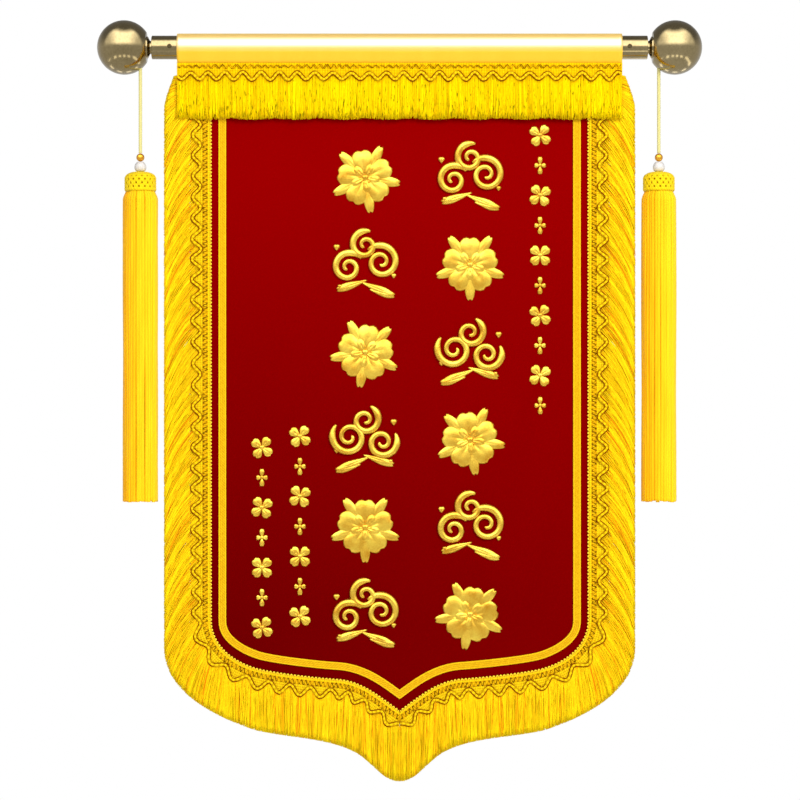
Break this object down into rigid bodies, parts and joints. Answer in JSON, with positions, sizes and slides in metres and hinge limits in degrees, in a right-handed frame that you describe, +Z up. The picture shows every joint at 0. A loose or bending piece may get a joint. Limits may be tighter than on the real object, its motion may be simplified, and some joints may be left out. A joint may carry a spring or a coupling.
{
  "type": "honor banner on a hanging rod",
  "caption": "Velvet honor banner with a pointed lower edge, braid and fringe, hanging from a rod with ball finials and side tassels.",
  "frame": {"origin": "middle of the rod, on its axis", "axes": "+X along the rod to the right as seen from the front, -Y towards the viewer, +Z up"},
  "size_m": [0.756, 0.0676, 0.9475],
  "materials": {
    "brass": "brushed antique brass",
    "steel": "plain turned",
    "satin": "glossy satin",
    "velvet": "short-pile velvet",
    "ribbon": "knitted ribbon with a slight sheen",
    "braid": "woven braid with a slight sheen",
    "fringe": "cut silky fringe",
    "cord": "twisted cord",
    "gold_bead": "gilt",
    "pale_bead": "pearly"
  },
  "bodies": {
    "root": {"rod": "brass", "finial_left": "brass", "finial_right": "brass", "screw_left": "steel", "screw_right": "steel", "sleeve": "satin", "panel": "velvet", "ribbon": "ribbon", "braid_left": "braid", "braid_right": "braid", "gimp_left": "braid", "gimp_right": "braid", "side_fringe_left": "fringe", "side_fringe_right": "fringe", "bottom_fringe_left": "fringe", "bottom_fringe_right": "fringe", "top_braid": "braid", "top_gimp": "braid", "top_fringe": "fringe", "cord_left": "cord", "cord_right": "cord", "bead_left": "gold_bead", "bead_right": "gold_bead", "barrel_bead_left": "pale_bead", "barrel_bead_right": "pale_bead", "tassel_left": "fringe", "tassel_right": "fringe"}
  },
  "joints": []
}
